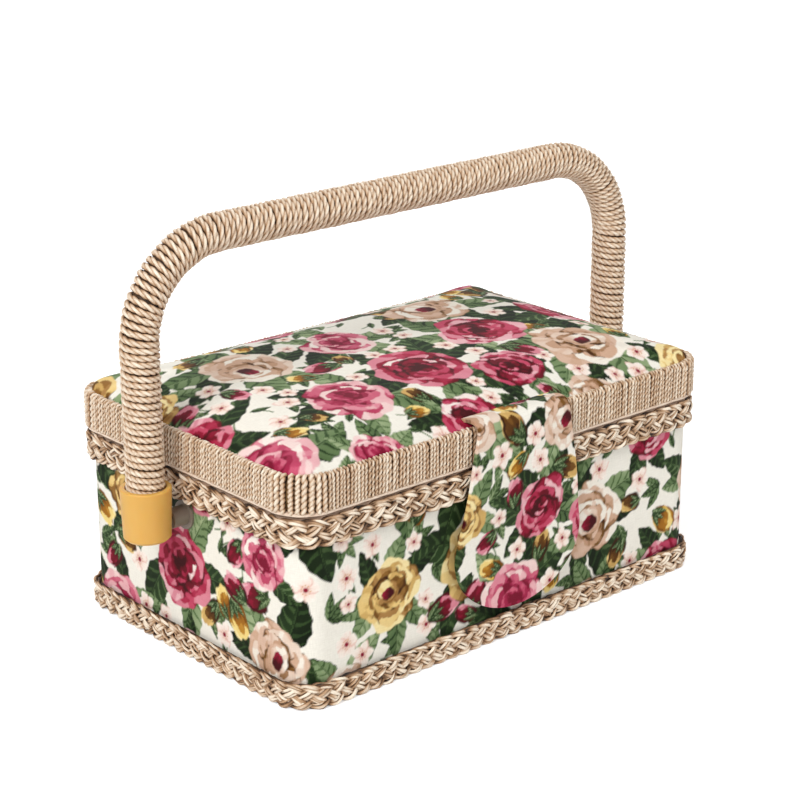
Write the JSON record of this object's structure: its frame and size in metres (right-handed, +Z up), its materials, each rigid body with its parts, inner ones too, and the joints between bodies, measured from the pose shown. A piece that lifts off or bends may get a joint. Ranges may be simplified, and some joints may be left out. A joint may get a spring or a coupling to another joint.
{
  "type": "sewing box",
  "caption": "Fabric-covered sewing box with a hinged padded lid, a magnetic closing flap, plaited straw trim and a cord-wound swing handle.",
  "frame": {"origin": "middle of the flat underside", "axes": "+X along the box's length towards its right end, +Y from the flap at the front to the hinges at the back, +Z up"},
  "size_m": [0.3044, 0.1734, 0.1968],
  "materials": {
    "printed_cotton": "woven cotton with a rose print",
    "straw": "twisted and plaited paper straw, slight sheen",
    "binding_tape": "flat woven tape",
    "lining_satin": "padded satin",
    "base_cloth": "plain non-woven cloth",
    "board": "raw grey board",
    "foam": "soft foam and wadding",
    "amber_plastic": "moulded, soft gloss",
    "core_plastic": "bent rod",
    "clear_plastic": "cloudy clear sleeve",
    "steel": "plated"
  },
  "bodies": {
    "box": {"base_cover": "base_cloth", "base_board": "board", "base_pad": "lining_satin", "wall_board": "board", "body_cover": "printed_cotton", "wall_lining": "lining_satin", "base_braid": "straw", "rim_braid": "straw", "clasp_plate": "steel", "pivot_bush_left": "clear_plastic", "pivot_bush_right": "clear_plastic", "hinge_box_leaf_left": "steel", "hinge_box_leaf_right": "steel", "hinge_pin_left": "steel", "hinge_pin_right": "steel", "hinge_box_brads": "steel"},
    "lid": {"lid_board": "board", "lid_rim": "board", "lid_pad": "foam", "lid_cover": "printed_cotton", "lid_lining": "lining_satin", "lid_band": "straw", "lid_binding": "binding_tape", "hinge_lid_leaf_left": "steel", "hinge_lid_leaf_right": "steel", "hinge_lid_brads": "steel"},
    "flap": {"flap_face": "printed_cotton", "flap_stiffener": "board", "flap_backing": "lining_satin", "flap_magnet": "steel"},
    "handle_pivots": {"pivot_pin_left": "steel", "pivot_pin_right": "steel"},
    "handle": {"handle_core": "core_plastic", "handle_wrap": "straw", "ferrule_left": "amber_plastic", "ferrule_right": "amber_plastic"}
  },
  "joints": [
    {"name": "lid_hinge", "type": "hinge", "parent": "box", "child": "lid", "pos_m": [0, 0.085, 0.087], "axis": [-1, 0, 0], "range_deg": [0, 95]},
    {"name": "flap_lift", "type": "hinge", "parent": "lid", "child": "flap", "pos_m": [0, -0.0788, 0.1092], "axis": [-1, 0, 0], "range_deg": [0, 85]},
    {"name": "handle_push_back", "type": "hinge", "parent": "box", "child": "handle_pivots", "pos_m": [0, 0, 0.0663], "axis": [-1, 0, 0], "range_deg": [0, 114]},
    {"name": "handle_swing", "type": "hinge", "parent": "handle_pivots", "child": "handle", "pos_m": [0, 0, 0.0663], "axis": [-1, 0, 0], "range_deg": [-114, 0]}
  ],
  "couplings": [
    {"joint": "handle_push_back", "follows": "lid_hinge", "ratio": 1.2}
  ]
}
